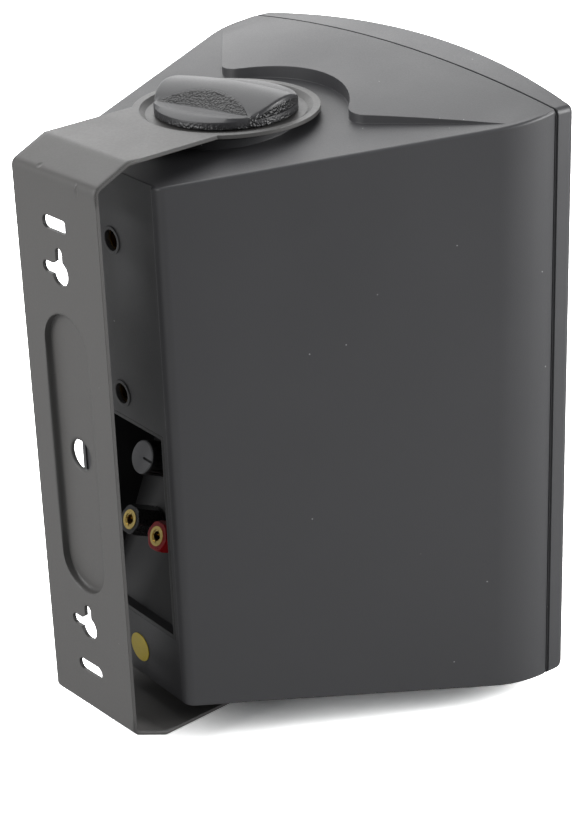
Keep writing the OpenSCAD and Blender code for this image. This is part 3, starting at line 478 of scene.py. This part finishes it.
knob_abs = finish("charcoal ABS knob, satin and pebbled", "#2d2d2f", 0.4, 0.6, 0.02, shade=0.05, edge=0.4)
tree = knob_abs.node_tree
marked = add(tree, "Attribute", attribute_name="pebbled").outputs["Fac"]
# Painted shade: the pebbled hollows and rim are painted near black, standing in for the shadow in them.
painted_shade = add(tree, "Math", {0: marked, 1: 0.85}, operation="MULTIPLY")
paint(knob_abs, painted_shade.outputs[0], "#111112")
pebbles = add(tree, "TexVoronoi", {"Vector": first(knob_abs, "TexCoord").outputs["Object"],
                                   "Scale": 1 / PEBBLE}, feature="SMOOTH_F1")
relief = add(tree, "Math", {0: pebbles.outputs["Distance"], 1: marked}, operation="MULTIPLY").outputs[0]
relink(knob_abs, "Normal", lambda below: add(tree, "Bump", {
    "Height": relief, "Distance": 0.6 * MM, "Strength": 1.0, "Normal": below}).outputs[0])
knob("top_knob", 1)
knob("bottom_knob", -1)

# Pivot hardware
# Zinc-plated studs, washers, nuts and screws shine grey and a little blurred. The brass inserts
# moulded into the cabinet are warm and brighter. The nylon friction washers between the cabinet
# and the arms are black and dusty.
zinc = finish("zinc plate on steel", "#b9bbbd", 0.34, 0.8, 0.01, shade=0.08, patch=6.0, metal=1.0)
turned_brass = finish("turned brass", "#b08a46", 0.3, 0.6, 0.01, shade=0.1, patch=4.0, metal=1.0)
nylon = finish("black nylon", "#1f1f20", 0.5, 0.7, 0.03)
specks(nylon, 1.6, 0.3, 0.35, "#9a9a9b")
dress(zinc, "top_knob_stud", "bottom_knob_stud", "top_knob_washer", "bottom_knob_washer", "tap_nut",
      "tap_shaft", "solder_tags", "housing_screws", "transformer_screws", "board_screws", "woofer_screws",
      "tweeter_screws")
dress(turned_brass, "top_pivot_insert", "bottom_pivot_insert", "rear_inserts")
dress(nylon, "top_friction_washer", "bottom_friction_washer")

# Binding posts
# Gold-plated brass studs mirror the room in a warm tone. Their hexagonal caps are glossy black
# and red plastic with a gold core. The collars below are pressed into the cup.
gold = finish("gold plate on brass", "#f0d486", 0.2, 0.5, 0.006, shade=0.08, patch=3.0, metal=1.0)
black_plastic = finish("black polycarbonate", "#232324", 0.3, 0.8, 0.01, edge=0.3)
red_plastic = finish("red polycarbonate", "#b0101a", 0.3, 0.8, 0.01, edge=0.3)
dress(gold, "black_post", "red_post", "black_cap_core", "red_cap_core", "post_nuts")
dress(black_plastic, "black_cap", "tap_switch", "post_collars")
dress(red_plastic, "red_cap")

# Power tap and label
# The tap's knob is a dark satin cap with flutes, and its end face is grey with a pointer notch.
# The round label is a yellow foil sticker with a metallic sheen, stuck below the terminals and
# drawn as small as the real one.
RAMP_ANGLE = math.radians(23)
FACE_DEPTH = 0.4 * MM
LABEL_SHARE = 0.82
grey_cap = finish("ABS knob with a grey face", "#202021", 0.45, 0.7, 0.02, edge=0.25)
tree = grey_cap.node_tree
ramp_normal = SWIVEL.to_3x3() @ Vector((0, -math.cos(RAMP_ANGLE), math.sin(RAMP_ANGLE)))
face_height = max(v.co.dot(ramp_normal) for v in CAD["tap_knob"].data.vertices)
height = add(tree, "VectorMath", {0: first(grey_cap, "TexCoord").outputs["Object"], 1: ramp_normal},
             operation="DOT_PRODUCT").outputs["Value"]
on_face = add(tree, "Math", {0: height, 1: face_height - FACE_DEPTH}, operation="GREATER_THAN")
paint(grey_cap, on_face.outputs[0], "#6a6a6c")
foil = finish("yellow foil sticker", "#c7b02e", 0.38, 0.4, 0.02, shade=0.12, patch=2.5, metal=0.3)
dress(grey_cap, "tap_knob")
dress(foil, "round_label")
low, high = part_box("round_label")
label_middle = (low + high) / 2
for v in bpy.data.objects["round_label_finish"].data.vertices:
    v.co = label_middle + (v.co - label_middle) * LABEL_SHARE

# Line transformer and crossover
# Grey varnished laminations with an amber taped coil in a bright strap, and a green board with a
# shining copper coil, satin blue capacitors and a chalky cement resistor. Screws hold both inside.
laminations = finish("varnished laminations", "#4d4f52", 0.4, 0.5, 0.05, metal=0.6)
coil_tape = finish("amber insulation tape", "#c09a55", 0.4, 1.0, 0.03)
strap = finish("plated strap", "#a7a9ab", 0.35, 0.8, 0.01, metal=1.0)
laminate = finish("green circuit board", "#1f4d2b", 0.4, 1.0, 0.01)
copper = finish("enamelled copper wire", "#b56a32", 0.32, 0.5, 0.05, metal=1.0)
sleeve = finish("blue capacitor sleeve", "#20304f", 0.35, 0.8, 0.01)
cement = finish("cement resistor body", "#cfcbbd", 0.75, 0.4, 0.05)
dress(laminations, "transformer_core")
dress(coil_tape, "transformer_coil")
dress(strap, "transformer_frame")
dress(laminate, "crossover_board")
dress(copper, "crossover_coil", "voice_coil")
dress(sleeve, "crossover_capacitors")
dress(cement, "crossover_resistor")

# Woofer
# A basket of steel with a satin paint holds a fibrous paper cone in a dull rubber surround and a
# spider of amber cloth. The dark ferrite magnet lies between plates of plated steel.
basket_paint = finish("black paint on pressed steel", "#303134", 0.45, 0.8, 0.02)
rubber = finish("butyl rubber", "#1e1e1f", 0.6, 0.6, 0.02)
pulp = finish("black paper pulp", "#29292a", 0.8, 1.2, 0.12, shade=0.15, patch=8.0)
doped_cloth = finish("doped cloth", "#b08f4b", 0.75, 0.8, 0.15)
plated_steel = finish("zinc plate on thick steel", "#9b9da0", 0.38, 0.8, 0.01, metal=1.0)
ferrite = finish("ground ferrite", "#3c3d3f", 0.55, 0.6, 0.04, metal=0.2)
dress(basket_paint, "woofer_basket")
dress(rubber, "woofer_surround")
dress(pulp, "woofer_cone", "dust_cap")
dress(doped_cloth, "spider")
dress(plated_steel, "woofer_top_plate", "woofer_yoke", "tweeter_magnet")
dress(ferrite, "woofer_magnet")

# Tweeter
# A dome of coated silk, dull with a fine grain, on a plate moulded of smooth black ABS. Screws hold
# the plate on the baffle.
tweeter_abs = finish("black ABS, moulded smooth", "#232324", 0.4, 0.7, 0.01)
silk = finish("coated silk", "#343436", 0.55, 0.35, 0.06)
dress(tweeter_abs, "tweeter_plate")
dress(silk, "tweeter_dome")
